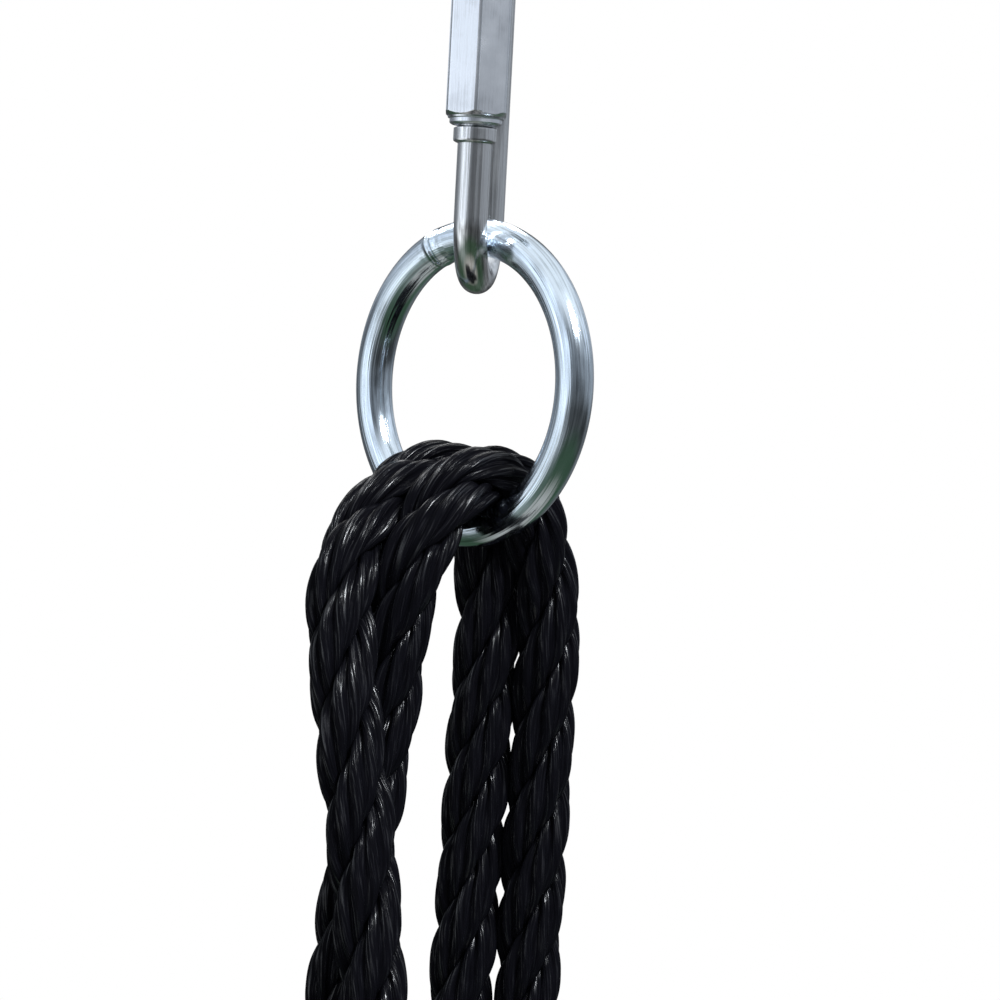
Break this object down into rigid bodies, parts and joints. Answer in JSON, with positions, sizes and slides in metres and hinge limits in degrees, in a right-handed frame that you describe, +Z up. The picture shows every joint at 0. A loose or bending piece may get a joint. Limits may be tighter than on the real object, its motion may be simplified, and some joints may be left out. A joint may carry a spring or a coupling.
{
  "type": "tire swing",
  "caption": "Tire swing: a car tire hung upright in a black laid rope that is wound through a welded steel ring, with a steel quick link to hang it by.",
  "frame": {"origin": "where the inside of the quick link's upper bow bears on whatever holds the swing up", "axes": "+Z up along the hanging swing; the tire lies in the XZ plane, with its axle along Y and its front to -Y"},
  "size_m": [0.584, 0.2105, 1.64],
  "materials": {
    "link_zinc": "bright zinc plate, smooth, with fine draw marks",
    "sleeve_zinc": "zinc plate on drawn hexagon bar, satin",
    "ring_zinc": "bright blue zinc plate",
    "rope_black": "glossy black film fibres, three-strand right-hand lay",
    "rope_whipping": "black heat-shrink cap",
    "tire_rubber": "black rubber, matt tread and smoother sidewall"
  },
  "bodies": {
    "link": {"link_body": "link_zinc"},
    "sleeve": {"link_sleeve": "sleeve_zinc"},
    "ring": {"ring": "ring_zinc"},
    "rope": {"rope": "rope_black", "rope_knot": "rope_black", "rope_end_1": "rope_whipping", "rope_end_2": "rope_whipping"},
    "tire": {"tire": "tire_rubber"}
  },
  "joints": [
    {"name": "sleeve_travel", "type": "slide", "parent": "link", "child": "sleeve", "axis": [0, 0, 1], "range_m": [0, 0.019]},
    {"name": "ring_swing", "type": "hinge", "parent": "link", "child": "ring", "pos_m": [0, 0, -0.102], "axis": [0.4563, 0.8898, 0], "range_deg": [-30, 30]},
    {"name": "rope_swing", "type": "hinge", "parent": "ring", "child": "rope", "pos_m": [0, 0, -0.1615], "axis": [0.6947, -0.7193, 0], "range_deg": [-30, 30]},
    {"name": "tire_turn", "type": "hinge", "parent": "rope", "child": "tire", "pos_m": [0, 0, -1.34], "axis": [0, 1, 0], "continuous": true}
  ]
}
